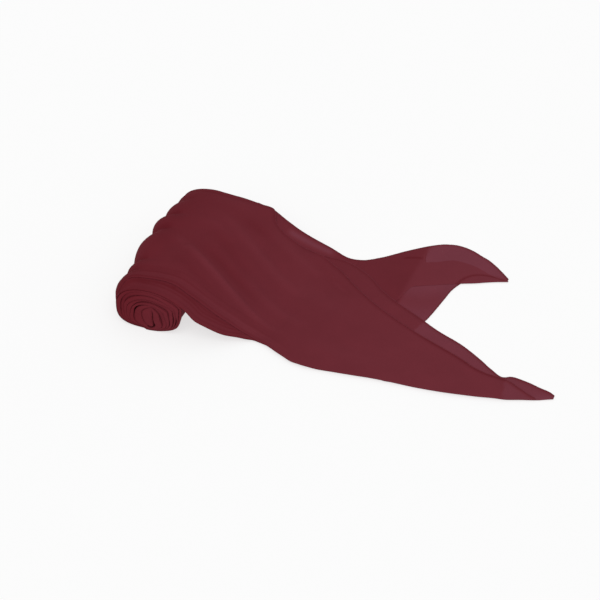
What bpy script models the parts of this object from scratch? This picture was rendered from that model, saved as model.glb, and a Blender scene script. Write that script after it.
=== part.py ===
"""A sheer scarf folded lengthwise in four, rolled up from one end, with its other end run out flat in two tails.

The roll lies across the strip, along Y. The strip leaves the roll over its top, slopes down to the surface
and runs along +X. The scarf rests on z = 0, and its origin is the middle of its footprint.

Tables are in millimetres in the strip's own frame, whose zero is a point on the surface between the tails and
the roll. Every ply is a wall that follows one base form, each a little deeper inside it than the ply above.
"""

import math

import bmesh
import bpy
import numpy as np

MM = 0.001

# The strip frame's zero, measured back from the middle of the footprint
STRIP_ZERO_X = 49.0
STRIP_ZERO_Y = 24.6

# Cloth walls
PLY = 1.0
SEAM_GAP = 0.3
LAYER = PLY + SEAM_GAP
TOP_DEPTH = 0.0
SECOND_DEPTH = LAYER
BOTTOM_DEPTH = 2 * LAYER
ROLL_DEPTH = 3 * LAYER
FLAT_STACK = 2 * LAYER + PLY

# The roll, as an oval that grows from its near end to its far end
NEAR_Y = -100.0
FAR_Y = 100.0
ROLL_MIDDLE_X = (-118.0, -130.0)
ROLL_HALF_WIDTH = (35.3, 43.5)
ROLL_HEIGHT = (46.3, 50.6)
OVAL_TOP_POWER = 2.05
OVAL_BOTTOM_POWER = 3.4
FLOOR_SNAP = 0.25

# The slope from the roll's top to the surface
CREST_X = (-115.0, -108.0)
TOUCH_X = (-9.0, 30.0)

# The outer plies wrap the roll from beneath it, up its left side and over its top
ROLL_STEPS_ROUND = 36
STEP_DEGREES = 360.0 / ROLL_STEPS_ROUND
WRAP_STARTS_AT = 250.0
WRAP_STEPS = 16
SLOPE_STEPS = 14

# Where the cross lines of the flat stretch pass, at the near and the far side of the strip
FLAT_LINES = (
    # near_x, far_x
    (6.0, 38.0),
    (20.0, 51.0),
    (36.0, 64.0),
    (52.0, 77.0),
    (68.0, 90.0),
    (84.0, 101.0),
    (100.0, 111.0),
    (114.0, 119.0),
    (127.0, 127.0),
)
TAIL_LINES_X = (140.0, 154.0, 168.0, 182.0, 195.0, 207.0, 214.0, 221.0, 228.0, 236.0, 244.0, 251.0, 256.0)
SECOND_TAIL_LINES_X = TAIL_LINES_X + (262.0, 268.0, 272.0)
REAR_TAIL_LINES_X = (119.0, 124.0, 127.0, 129.5, 132.0, 135.0, 138.5, 142.0, 148.0, 155.0, 164.0, 174.0, 183.5)
UNDER_LINES_X = (8.0, 20.0, 31.0, 46.0, 62.0, 77.0, 92.0, 104.0, 112.0, 121.0, 128.0, 137.0, 146.0, 158.0, 170.0)
UNDER_LINES_X += (182.0, 194.0, 207.0, 216.0, 224.0)
CORNER_LINES_X = (32.0, 45.0, 60.0, 74.0, 86.0, 90.0, 93.0, 96.0, 105.0, 116.0, 126.0, 135.0, 143.0, 155.0)
CORNER_LINES_X += (164.0, 175.0, 185.0)

# The two long edges of each ply, as distances across the strip
TOP_PLY_EDGES = (
    # x, front_y, back_y
    (-125, -79.0, 84.0),
    (-98, -78.0, 85.0),
    (-80, -80.0, 87.5),
    (-66, -80.0, 88.0),
    (-57, -80.0, 76.0),
    (-42, -79.0, 69.0),
    (-24, -79.0, 68.0),
    (-7, -82.0, 71.0),
    (16, -92.0, 64.0),
    (31, -98.0, 51.0),
    (46, -101.0, 38.0),
    (79, -98.0, 21.0),
    (110, -94.0, 0.0),
    (129, -92.0, -11.0),
    (159, -89.0, -26.0),
    (177, -87.0, -34.0),
    (194, -84.0, -43.0),
    (209, -81.0, -47.0),
    (221, -78.0, -48.0),
    (229, -76.0, -50.0),
    (240, -72.0, -55.0),
    (251, -67.5, -61.0),
    (257, -65.5, -63.5),
)
SECOND_PLY_EDGES = (
    # x, front_y, back_y
    (-125, -99.0, 78.0),
    (-79, -101.0, 72.0),
    (-66, -103.0, 68.0),
    (-57, -100.0, 66.0),
    (-42, -95.0, 64.0),
    (-27, -86.0, 65.0),
    (-13, -80.5, 68.0),
    (5, -84.0, 76.0),
    (18, -91.0, 79.0),
    (31, -96.5, 75.0),
    (53, -99.5, 65.0),
    (91, -95.0, 33.0),
    (109, -92.5, 21.0),
    (126, -90.5, 12.0),
    (146, -89.0, 0.5),
    (170, -86.5, -10.5),
    (194, -82.5, -25.0),
    (207, -80.0, -35.0),
    (220, -76.5, -43.5),
    (228, -75.0, -40.0),
    (243, -69.5, -42.5),
    (258, -64.5, -47.5),
    (266, -60.5, -50.5),
    (272, -58.0, -54.5),
)
BOTTOM_PLY_EDGES = (
    # x, front_y, back_y
    (-125, -92.0, 89.0),
    (-63, -93.0, 89.5),
    (-34, -88.0, 88.0),
    (-2, -74.0, 90.0),
    (22, -65.0, 86.0),
    (34, -60.0, 88.0),
    (50, -53.0, 99.0),
    (74, -40.0, 124.0),
    (89, -29.0, 138.0),
    (100, -21.0, 146.0),
    (107, -15.0, 149.5),
    (119, -3.0, 152.0),
    (127, 14.0, 151.0),
    (132, 46.0, 149.5),
    (135, 70.0, 148.5),
    (142, 90.0, 145.0),
    (148, 102.0, 141.5),
    (155, 109.0, 138.0),
    (166, 109.0, 129.5),
    (184, 108.5, 112.0),
)
FRONT_UNDER_PLY_EDGES = (
    # x, front_y, back_y
    (8, -83.5, -72.5),
    (31, -92.5, -63.0),
    (62, -96.0, -49.0),
    (92, -94.0, -29.0),
    (112, -91.0, -12.5),
    (121, -90.0, -3.0),
    (128, -89.0, 6.0),
    (146, -87.0, -4.0),
    (170, -84.5, -16.0),
    (194, -80.5, -31.0),
    (207, -78.0, -41.0),
    (216, -75.5, -48.0),
    (224, -73.5, -51.0),
)
TURNED_CORNER_EDGES = (
    # x, front_y, back_y
    (32, 76.5, 84.0),
    (45, 70.5, 92.5),
    (60, 61.0, 107.5),
    (74, 49.5, 122.0),
    (86, 40.0, 133.0),
    (90, 37.5, 134.5),
    (93, 47.0, 122.0),
    (96, 61.0, 109.5),
    (105, 67.0, 110.5),
    (126, 78.0, 115.5),
    (143, 86.5, 113.5),
    (155, 92.0, 111.5),
    (164, 97.0, 109.5),
    (175, 102.5, 108.5),
    (185, 106.6, 108.2),
)

# Puffs round the roll between the places where the cloth is drawn in
PUFFS = (
    # from_y, to_y, height
    (-103.0, -57.0, 4.4),
    (-57.0, -34.0, 5.6),
    (-34.0, 23.0, 9.0),
    (23.0, 52.0, 6.4),
    (52.0, 90.0, 3.2),
)
PUFF_ROUND_FROM = 222.0
PUFF_ROUND_TO = 96.0
PUFF_ROUND_FADE = 42.0

# Soft ridges of the top ply down the slope, each with a path of four points, a half width and a height
RIDGES = (
    # (x, y) by four, half_width, height
    ((-121, -6), (-96, -25), (-66, -37), (-26, -56), 11.0, 2.6),
    ((-117, 62), (-86, 44), (-62, 38), (-30, 26), 12.0, 2.2),
    ((-112, 24), (-84, 10), (-50, 2), (-6, -14), 13.0, 1.6),
    ((-70, 76), (-50, 58), (-24, 44), (10, 30), 9.0, 1.3),
    ((-104, -62), (-76, -66), (-46, -68), (-12, -72), 9.0, 1.0),
)
RIDGE_SAMPLES = 25

RIDGE_END_POWER = 0.6
RIDGES_ROUND_TO = 176.0

# Folds die out over this share of a ply's width at its two long edges
EDGE_FADE_SHARE = 0.14

# Where the upper plies come down past the end of the ply beneath the front tail
DROP_STARTS_X = 226.0
DROP_LENGTH = 14.0

# Small steps that a direction or an edge is found with
ANGLE_NUDGE = 1.0
SHARE_NUDGE = 0.01
EDGE_TRIES = 12

# Columns across each ply
TOP_COLUMNS = 20
SECOND_COLUMNS = 9
BOTTOM_COLUMNS = 8
UNDER_COLUMNS = 4
CORNER_COLUMNS = 4

# The roll's body and its layered ends
ROLL_SPANS = 8
ROLL_NEAR_END = -98.0
ROLL_FAR_END = 82.0
INSET_STARTS_AT = 2.0
INSET_FULL_AT = 38.0
INSET_ENDS_AT = 255.0
INSET_GONE_AT = 268.0
END_TURNS = 5
FIRST_GROOVE = 0.35
LIP_OUT = 0.12
LIP_IN = 0.22
CORE_LIP = 0.3
GROOVE_DEPTH = 3.2
CORE_HALF_WIDTH = 6.0
CORE_HALF_HEIGHT = 11.5
CORE_FROM_MIDDLE_X = -1.0
CORE_CENTRE_Z = 20.0
CORE_STANDS_OUT = 3.5
STAND_OUT_POWER = 1.5
NEAR_FLARE = 3.5
NEAR_FLARE_LENGTH = 14.0
ROUND_OVER = 2.5

WINE = (0.125, 0.018, 0.026, 1.0)
WINE_DEEP = (0.095, 0.013, 0.018, 1.0)
CLOTH_ROUGHNESS = 0.85
SHARP_DEGREES = 40.0


def clear_scene():
    """Remove whatever the file starts with."""
    for obj in list(bpy.data.objects):
        bpy.data.objects.remove(obj, do_unlink=True)


def cloth_material(name, colour):
    """Plain dyed cloth."""
    material = bpy.data.materials.new(name)
    material.use_nodes = True
    shader = material.node_tree.nodes["Principled BSDF"]
    shader.inputs["Base Color"].default_value = colour
    shader.inputs["Roughness"].default_value = CLOTH_ROUGHNESS
    shader.inputs["Metallic"].default_value = 0.0
    return material


def along(pair, y):
    """A value that changes evenly from the near to the far side of the strip."""
    return pair[0] + (pair[1] - pair[0]) * (y - NEAR_Y) / (FAR_Y - NEAR_Y)


def ease(share):
    """A smooth step from 0 to 1."""
    share = np.clip(share, 0.0, 1.0)
    return share * share * (3.0 - 2.0 * share)


def smooth_column(table, column, x):
    """A column of a table read at x along a smooth curve that never overshoots its rows."""
    rows = np.array(table, float)
    xs = rows[:, 0]
    ys = rows[:, column]
    steps = np.diff(xs)
    slopes = np.diff(ys) / steps
    tangents = np.zeros(len(xs))
    same_way = slopes[:-1] * slopes[1:] > 0
    harmonic = 2.0 * slopes[:-1] * slopes[1:] / np.where(same_way, slopes[:-1] + slopes[1:], 1.0)
    tangents[1:-1] = np.where(same_way, harmonic, 0.0)
    tangents[0] = slopes[0]
    tangents[-1] = slopes[-1]
    x = np.clip(x, xs[0], xs[-1])
    row = np.clip(np.searchsorted(xs, x) - 1, 0, len(steps) - 1)
    t = (x - xs[row]) / steps[row]
    rise = (1.0 + 2.0 * t) * (1.0 - t) ** 2 * ys[row] + t * t * (3.0 - 2.0 * t) * ys[row + 1]
    turn = t * (1.0 - t) ** 2 * tangents[row] - t * t * (1.0 - t) * tangents[row + 1]
    return rise + turn * steps[row]


def oval(angle):
    """A unit oval, rounded above and nearly flat below, as a share of the half width and of the height."""
    c = math.cos(math.radians(angle))
    s = math.sin(math.radians(angle))
    power = OVAL_TOP_POWER if s > 0 else OVAL_BOTTOM_POWER
    radius = (abs(c) ** power + abs(s) ** power) ** (-1.0 / power)
    return radius * c, 0.5 + 0.5 * radius * s


def roll_point(angle, y):
    """A point of the roll's outline, on the top ply's outer face."""
    share_x, share_z = oval(angle)
    x = along(ROLL_MIDDLE_X, y) + along(ROLL_HALF_WIDTH, y) * share_x
    z = along(ROLL_HEIGHT, y) * share_z
    return np.array([x, 0.0 if z < FLOOR_SNAP else z])


def slope_point(share, y):
    """A point of the slope, from the roll's crest at 0 to the surface at 1."""
    crest = along(CREST_X, y)
    height = along(ROLL_HEIGHT, y)
    x = crest + share * (along(TOUCH_X, y) - crest)
    return np.array([x, FLAT_STACK + (height - FLAT_STACK) * (1.0 - ease(share))])


def flat_point(line, y):
    """A point of the flat stretch, where a cross line passes y."""
    return np.array([along(line, y), FLAT_STACK])


def normal_to(before, after):
    """The outward direction of a curve that runs from before to after, clockwise round the roll."""
    run = after - before
    return np.array([-run[1], run[0]]) / np.hypot(run[0], run[1])


def roll_normal(angle, y):
    """The outward direction of the roll's outline."""
    return normal_to(roll_point(angle + ANGLE_NUDGE, y), roll_point(angle - ANGLE_NUDGE, y))


class CrossLine:
    """One line across the strip: where it passes each y, and which way is out."""

    def __init__(self, kind, value):
        self.kind = kind
        self.value = value

    def point(self, y):
        if self.kind == "wrap":
            return roll_point(self.value, y)
        if self.kind == "slope":
            return slope_point(self.value, y)
        return flat_point(self.value, y)

    def outward(self, y):
        if self.kind == "wrap":
            return roll_normal(self.value, y)
        if self.kind == "slope" and self.value < 1.0:
            return normal_to(slope_point(self.value - SHARE_NUDGE, y), slope_point(self.value + SHARE_NUDGE, y))
        return np.array([0.0, 1.0])


def strip_lines():
    """The cross lines that every ply shares, from beneath the roll to where the tails part."""
    lines = [CrossLine("wrap", WRAP_STARTS_AT - step * STEP_DEGREES) for step in range(WRAP_STEPS + 1)]
    lines += [CrossLine("slope", share) for share in np.linspace(0.0, 1.0, SLOPE_STEPS + 1)]
    lines += [CrossLine("flat", line) for line in FLAT_LINES]
    return lines


def tail_lines(xs):
    """Cross lines square to the strip."""
    return [CrossLine("flat", (x, x)) for x in xs]


def edge_on(line, table, column):
    """Where a long edge of a ply crosses a cross line."""
    y = smooth_column(table, column, line.point(0.0)[0])
    for _ in range(EDGE_TRIES):
        y = 0.5 * y + 0.5 * smooth_column(table, column, line.point(y)[0])
    return float(y)


def puff(line, y):
    """How far the top ply stands out round the roll."""
    if line.kind != "wrap":
        return 0.0
    round_it = ease((PUFF_ROUND_FROM - line.value) / PUFF_ROUND_FADE)
    round_it *= ease((line.value - PUFF_ROUND_TO) / PUFF_ROUND_FADE)
    for from_y, to_y, height in PUFFS:
        if from_y < y < to_y:
            return height * math.sin(math.pi * (y - from_y) / (to_y - from_y)) * float(round_it)
    return 0.0


def ridge_paths():
    """Each ridge as a smooth path of samples, with its half width and height."""
    paths = []
    shares = np.linspace(0.0, 1.0, RIDGE_SAMPLES)
    for *points, half_width, height in RIDGES:
        p = np.array(points, float)
        weights = np.stack(
            [(1 - shares) ** 3, 3 * shares * (1 - shares) ** 2, 3 * shares**2 * (1 - shares), shares**3], 1
        )
        paths.append((weights @ p, half_width, height))
    return paths


def ridge_height(paths, x, y):
    """How far the top ply stands up on its ridges at a place."""
    total = 0.0
    for path, half_width, height in paths:
        away = np.hypot(path[:, 0] - x, path[:, 1] - y)
        nearest = int(np.argmin(away))
        ends = math.sin(math.pi * (nearest + 0.5) / RIDGE_SAMPLES) ** RIDGE_END_POWER
        total += height * ends * math.exp(-((away[nearest] / half_width) ** 2))
    return total


def edge_fade(share):
    """Folds die out at a ply's two long edges."""
    return float(ease(min(share, 1.0 - share) / EDGE_FADE_SHARE))


def ply_surface(lines, table, columns, depth, relief=None, drop=None):
    """The inner face of a ply as rows of points, each row along one cross line from front to back."""
    rows = []
    for line in lines:
        front = edge_on(line, table, 1)
        back = edge_on(line, table, 2)
        row = []
        for share in np.linspace(0.0, 1.0, columns + 1):
            y = front + share * (back - front)
            x, z = line.point(y)
            out = line.outward(y)
            lift = -(depth + PLY)
            if relief is not None:
                lift += relief(line, x, y, share)
            fall = drop(x) if drop is not None else 0.0
            row.append((x + lift * out[0], y, z + lift * out[1] - fall))
        rows.append(row)
    return rows


def add_object(name, mesh, material):
    """Link a mesh whose points are in the strip frame, with its origin moved to the middle of the footprint."""
    obj = bpy.data.objects.new(name, mesh)
    obj.location = (-STRIP_ZERO_X * MM, -STRIP_ZERO_Y * MM, 0.0)
    obj.data.materials.append(material)
    bpy.context.scene.collection.objects.link(obj)
    mesh.shade_smooth()
    mesh.set_sharp_from_angle(angle=math.radians(SHARP_DEGREES))
    return obj


def grid_mesh(name, rows):
    """A sheet of quads through rows of points."""
    bm = bmesh.new()
    grid = [[bm.verts.new([value * MM for value in point]) for point in row] for row in rows]
    for low, high in zip(grid, grid[1:]):
        for a, b, c, d in zip(low, high, high[1:], low[1:]):
            bm.faces.new((a, b, c, d))
    mesh = bpy.data.meshes.new(name)
    bm.to_mesh(mesh)
    bm.free()
    return mesh


def ply_wall(name, rows, material):
    """A ply as a wall: its inner face, thickened outwards."""
    obj = add_object(name, grid_mesh(name, rows), material)
    wall = obj.modifiers.new("wall", "SOLIDIFY")
    wall.thickness = PLY * MM
    wall.offset = 1.0
    return obj


def top_ply(material):
    """The ply that shows: round the roll, down the slope and out along the front tail."""
    paths = ridge_paths()

    def relief(line, x, y, share):
        over = ease((RIDGES_ROUND_TO - line.value) / PUFF_ROUND_FADE) if line.kind == "wrap" else 1.0
        return puff(line, y) + ridge_height(paths, x, y) * edge_fade(share) * float(over)

    rows = ply_surface(
        strip_lines() + tail_lines(TAIL_LINES_X), TOP_PLY_EDGES, TOP_COLUMNS, TOP_DEPTH, relief, tail_drop
    )
    return ply_wall("top_ply", rows, material)


def tail_drop(x):
    """The upper plies come down one layer past the end of the ply beneath the front tail."""
    return LAYER * float(ease((x - DROP_STARTS_X) / DROP_LENGTH))


def second_ply(material):
    """The ply beneath it, whose near edge stands out of the roll and whose hem shows along the front tail."""
    rows = ply_surface(
        strip_lines() + tail_lines(SECOND_TAIL_LINES_X),
        SECOND_PLY_EDGES,
        SECOND_COLUMNS,
        SECOND_DEPTH,
        drop=tail_drop,
    )
    return ply_wall("second_ply", rows, material)


def bottom_ply(material):
    """The lowest ply, which spreads to the back into the rear tail and lies flat on the surface."""
    lines = strip_lines()[:-2] + tail_lines(REAR_TAIL_LINES_X)
    rows = ply_surface(lines, BOTTOM_PLY_EDGES, BOTTOM_COLUMNS, BOTTOM_DEPTH)
    return ply_wall("bottom_ply", rows, material)


def front_under_ply(material):
    """The ply on the surface beneath the front tail, beside the bottom ply."""
    rows = ply_surface(tail_lines(UNDER_LINES_X), FRONT_UNDER_PLY_EDGES, UNDER_COLUMNS, BOTTOM_DEPTH)
    return ply_wall("front_under_ply", rows, material)


def turned_corner(material):
    """The cloth's turned corner, which lies doubled on the rear tail."""
    rows = ply_surface(tail_lines(CORNER_LINES_X), TURNED_CORNER_EDGES, CORNER_COLUMNS, SECOND_DEPTH)
    return ply_wall("turned_corner", rows, material)


def roll_inset(angle):
    """How deep the roll's own outside lies: under three plies above and to the left, at the outline elsewhere."""
    turn = angle % 360.0
    covered = ease((turn - INSET_STARTS_AT) / (INSET_FULL_AT - INSET_STARTS_AT))
    covered *= 1.0 - ease((turn - INSET_ENDS_AT) / (INSET_GONE_AT - INSET_ENDS_AT))
    return ROLL_DEPTH * float(covered)


def roll_outline(angle, y, inset_more=0.0):
    """A point of the roll's own outside, whose right side is drawn in except at the near end."""
    x, z = roll_point(angle, y) - (roll_inset(angle) + inset_more) * roll_normal(angle, y)
    to_right = max(0.0, math.cos(math.radians(angle)))
    return np.array([x - NEAR_FLARE * to_right * float(ease((y - ROLL_NEAR_END) / NEAR_FLARE_LENGTH)), z])


def end_point(angle, wound, y):
    """A point of an end face: wound is 0 on the roll's outline and 1 on its upright core."""
    outer = roll_outline(angle, y, ROUND_OVER)
    radians = math.radians(angle)
    core = np.array(
        [
            along(ROLL_MIDDLE_X, y) + CORE_FROM_MIDDLE_X + CORE_HALF_WIDTH * math.cos(radians),
            CORE_CENTRE_Z + CORE_HALF_HEIGHT * math.sin(radians),
        ]
    )
    return outer + (core - outer) * wound


def end_face(bm, rim, y, way):
    """An end of the roll, wound as a spiral of raised turns with grooves between them, from the rim to the core."""
    around = len(rim)
    count = END_TURNS * around

    def place(step, turns_in, sunk):
        wound = (step / around + turns_in) / (END_TURNS + FIRST_GROOVE + 1.0)
        x, z = end_point(WRAP_STARTS_AT + STEP_DEGREES * step, wound, y)
        out = CORE_STANDS_OUT * wound**STAND_OUT_POWER - sunk
        return bm.verts.new((x * MM, (y + way * out) * MM, z * MM))

    grooves = [place(step, FIRST_GROOVE, GROOVE_DEPTH) for step in range(count + around + 1)]
    outer_lips = [place(step, FIRST_GROOVE + LIP_IN, 0.0) for step in range(count + 1)]
    inner_lips = [place(step, FIRST_GROOVE + 1.0 - LIP_OUT, 0.0) for step in range(count + 1)]
    rim_lips = [place(step, FIRST_GROOVE - LIP_OUT, 0.0) for step in range(around)] + [inner_lips[0]]
    core = [place(count + around + step, CORE_LIP, 0.0) for step in range(around)]
    faces = []
    for step in range(around - 1):
        faces.append((rim[step], rim[step + 1], rim_lips[step + 1], rim_lips[step]))
    faces.append((rim[-1], rim[0], rim_lips[0], outer_lips[0], rim_lips[around], rim_lips[around - 1]))
    faces.append((rim_lips[0], grooves[0], outer_lips[0]))
    for step in range(around):
        faces.append((rim_lips[step], rim_lips[step + 1], grooves[step + 1], grooves[step]))
    for step in range(count):
        inner = step + around
        faces.append((grooves[step], grooves[step + 1], outer_lips[step + 1], outer_lips[step]))
        faces.append((outer_lips[step], outer_lips[step + 1], inner_lips[step + 1], inner_lips[step]))
        faces.append((inner_lips[step], inner_lips[step + 1], grooves[inner + 1], grooves[inner]))
    for step in range(around):
        at = count + step
        faces.append((grooves[at], grooves[at + 1], core[(step + 1) % around], core[step]))
    faces.append((core[0], grooves[count], outer_lips[count], inner_lips[count], grooves[count + around]))
    faces.append(tuple(core))
    for face in faces:
        bm.faces.new(face)


def roll(material):
    """The wound turns as one rounded solid, flat below and layered as a spiral at both ends."""
    bm = bmesh.new()
    angles = [WRAP_STARTS_AT + STEP_DEGREES * step for step in range(ROLL_STEPS_ROUND)]
    full_near = ROLL_NEAR_END + ROUND_OVER
    full_far = ROLL_FAR_END - ROUND_OVER
    stations = [(ROLL_NEAR_END, ROUND_OVER), (full_near, 0.0)]
    stations += [(y, 0.0) for y in np.linspace(ROLL_NEAR_END + NEAR_FLARE_LENGTH, full_far, ROLL_SPANS)]
    stations += [(ROLL_FAR_END, ROUND_OVER)]
    rings = []
    for y, rounded in stations:
        ring = [roll_outline(angle, y, rounded) for angle in angles]
        rings.append([bm.verts.new((x * MM, y * MM, z * MM)) for x, z in ring])
    for near, far in zip(rings, rings[1:]):
        for step in range(ROLL_STEPS_ROUND):
            after = (step + 1) % ROLL_STEPS_ROUND
            bm.faces.new((near[step], near[after], far[after], far[step]))
    end_face(bm, rings[0], ROLL_NEAR_END, -1.0)
    end_face(bm, rings[-1], ROLL_FAR_END, 1.0)
    bmesh.ops.recalc_face_normals(bm, faces=bm.faces)
    mesh = bpy.data.meshes.new("roll")
    bm.to_mesh(mesh)
    bm.free()
    return add_object("roll", mesh, material)


def main():
    clear_scene()
    wine = cloth_material("wine_cloth", WINE)
    roll(cloth_material("wine_cloth_wound", WINE_DEEP))
    top_ply(wine)
    second_ply(wine)
    bottom_ply(wine)
    front_under_ply(wine)
    turned_corner(wine)


main()
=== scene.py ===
"""Looks of the rolled sheer scarf: thin cloth plies, wound turns, rolled hems and their stitches."""

import math

import bmesh
import bpy
import numpy as np
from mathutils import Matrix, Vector


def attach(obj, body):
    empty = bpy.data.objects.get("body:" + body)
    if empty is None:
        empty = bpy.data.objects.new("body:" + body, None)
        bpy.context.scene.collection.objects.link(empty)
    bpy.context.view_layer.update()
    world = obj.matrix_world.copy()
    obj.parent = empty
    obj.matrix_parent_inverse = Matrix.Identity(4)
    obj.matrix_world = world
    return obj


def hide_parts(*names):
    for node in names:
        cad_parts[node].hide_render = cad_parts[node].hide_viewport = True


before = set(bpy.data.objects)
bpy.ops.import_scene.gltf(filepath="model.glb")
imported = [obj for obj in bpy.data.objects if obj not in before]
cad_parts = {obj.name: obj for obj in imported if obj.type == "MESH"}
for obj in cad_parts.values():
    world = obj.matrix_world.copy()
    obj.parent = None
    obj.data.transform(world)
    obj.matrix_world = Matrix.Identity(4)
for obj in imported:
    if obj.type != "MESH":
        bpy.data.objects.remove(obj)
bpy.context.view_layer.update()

MM = 0.001

# The strip frame's zero, measured back from the middle of the footprint
STRIP_ZERO_X = 49.0
STRIP_ZERO_Y = 24.6

# How high the strip's outer face lies over the surface on the flat stretch, and one layer of it
FLAT_STACK = 3.6
LAYER = 1.3

# How deep each ply lies beneath that outer face, and round the roll where it differs
TOP_DEPTH = 0.6
SECOND_DEPTH = 1.2
SECOND_DEPTH_ROUND = 1.0
BOTTOM_DEPTH = 2.8
BOTTOM_DEPTH_ROUND = 1.9
CORNER_DEPTH = 2.4

# The roll, as an oval that grows from its near end to its far end
NEAR_Y = -100.0
FAR_Y = 100.0
ROLL_MIDDLE_X = (-118.0, -130.0)
ROLL_HALF_WIDTH = (35.3, 43.5)
ROLL_HEIGHT = (46.3, 50.6)
OVAL_TOP_POWER = 2.05
OVAL_BOTTOM_POWER = 3.4

# The slope from the roll's top to the surface
CREST_X = (-115.0, -108.0)
TOUCH_X = (-9.0, 30.0)

# How finely the cross lines are set
WRAP_STARTS_AT = 268.0
WRAP_ENDS_AT = 90.0
WRAP_STEPS = 48
SLOPE_STEPS = 64
FLAT_SPLITS = 6
TAIL_STEP = 2.4
ANGLE_NUDGE = 1.0
SHARE_NUDGE = 0.01
EDGE_TRIES = 12

# Where the cross lines of the flat stretch pass, at the near and the far side of the strip
FLAT_LINES = (
    # near_x, far_x
    (6, 38), (20, 51), (36, 64),
    (52, 77), (68, 90), (84, 101),
    (100, 111), (114, 119), (127, 127),
)

# The two long edges of each ply, as distances across the strip: x, front_y, back_y
TOP_PLY_EDGES = (
    (-156, -95.5, 84), (-150, -93.5, 84), (-145, -89.5, 84),
    (-138, -84, 84), (-125, -80.3, 84), (-112, -79, 81),
    (-98, -78, 82), (-80, -80, 86), (-66, -80, 88),
    (-57, -80, 76), (-42, -79, 69), (-24, -79, 68),
    (-7, -82, 71), (16, -92, 62.5), (31, -98, 51),
    (46, -99.7, 38), (65, -97.8, 23.5), (79, -96.3, 14),
    (91, -94.9, 7), (110, -92.4, -3.5), (129, -91, -13),
    (159, -89, -26), (177, -87, -34), (194, -84, -43),
    (209, -81, -47), (221, -78, -48), (229, -76, -50),
    (240, -72, -55), (251, -67.5, -61), (257, -65.5, -63.5),
)
SECOND_PLY_EDGES = (
    (-125, -99, 78), (-92, -98.4, 74), (-79, -99.2, 72),
    (-66, -102.2, 68), (-57, -100, 66), (-42, -95, 64),
    (-27, -86, 65), (-13, -80.5, 68), (5, -84, 76),
    (18, -91, 79), (31, -96.5, 75), (42, -97.3, 69),
    (53, -97.9, 61.5), (72, -95.8, 44), (91, -93.4, 31),
    (109, -91, 21), (126, -89.8, 11.5), (146, -89, 0.5),
    (170, -86.5, -10.5), (194, -82.5, -26.2), (207, -80, -36.2),
    (221, -76.5, -44), (229, -75, -40), (243, -69.5, -42),
    (258, -64.5, -46.5), (266, -60.5, -48.5), (272, -57.5, -52),
)
BOTTOM_PLY_EDGES = (
    (-125, -97.5, 88), (-110, -97, 85.5), (-98, -96.5, 86),
    (-80, -95, 88.5), (-63, -93, 89.5), (-34, -88, 88),
    (-2, -74, 90), (22, -65, 86), (34, -60, 88),
    (50, -53, 99), (74, -40, 124), (89, -29, 138),
    (100, -21, 146), (107, -15, 149.5), (119, -3, 152),
    (127, 14, 151), (132, 46, 149.5), (135, 70, 148.5),
    (142, 90, 145), (148, 102, 141.5), (155, 109, 138),
    (166, 109, 129.5), (184, 108.5, 112),
)
FRONT_UNDER_PLY_EDGES = (
    (8, -83.5, -72.5), (31, -92.5, -63), (62, -94.4, -49),
    (92, -92.2, -29), (112, -89.8, -12.5), (121, -90, -3),
    (128, -89, 6), (146, -87, -4), (170, -84.5, -16),
    (194, -80.5, -31), (207, -78, -41), (216, -75.5, -48),
    (224, -73.5, -51),
)
TURNED_CORNER_EDGES = (
    (32, 68, 84), (45, 62, 92.5), (60, 52, 107.5),
    (74, 40, 122), (86, 32, 133), (90, 31.5, 134.5),
    (93, 45, 122), (96, 61, 109.5), (105, 67, 113),
    (126, 78, 124), (143, 86.5, 122), (155, 92, 117.5),
    (164, 97, 112.5), (175, 102.5, 109), (185, 106.6, 108.2),
)

# Where the upper plies come down past the end of the ply beneath the front tail
DROP_STARTS_X = 226.0
DROP_LENGTH = 14.0

# From where to where the lines square to the strip run on each ply
TOP_TAIL_X = (130.0, 257.0)
SECOND_TAIL_X = (130.0, 272.0)
REAR_TAIL_X = (120.5, 183.5)
FRONT_UNDER_X = (8.0, 224.0)
TURNED_CORNER_X = (32.0, 185.0)
# The bottom ply shares the strip's cross lines up to here
BOTTOM_SHARES_TO_X = 116.5

# Puffs round the roll between the places where the cloth is drawn in
PUFFS = (
    # from_y, to_y, height
    (-96.5, -67, 3.7),
    (-67, -48, 2.6),
    (-48, 8, 6.6),
    (8, 35, 6.2),
    (35, 66, 2.8),
    (66, 92, 0.3),
)
# The plies lie loosely on the roll, so even the drawn-in places stand out a little
LOOSE_ROUND = ((-95.5, 0.0), (-88.0, 2.0), (20.0, 2.0), (48.0, 1.6), (70.0, 0.4), (92.0, 0.0))
PUFF_ROUND_FROM = 222.0
PUFF_ROUND_TO = 96.0
PUFF_ROUND_FADE = 42.0

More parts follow.
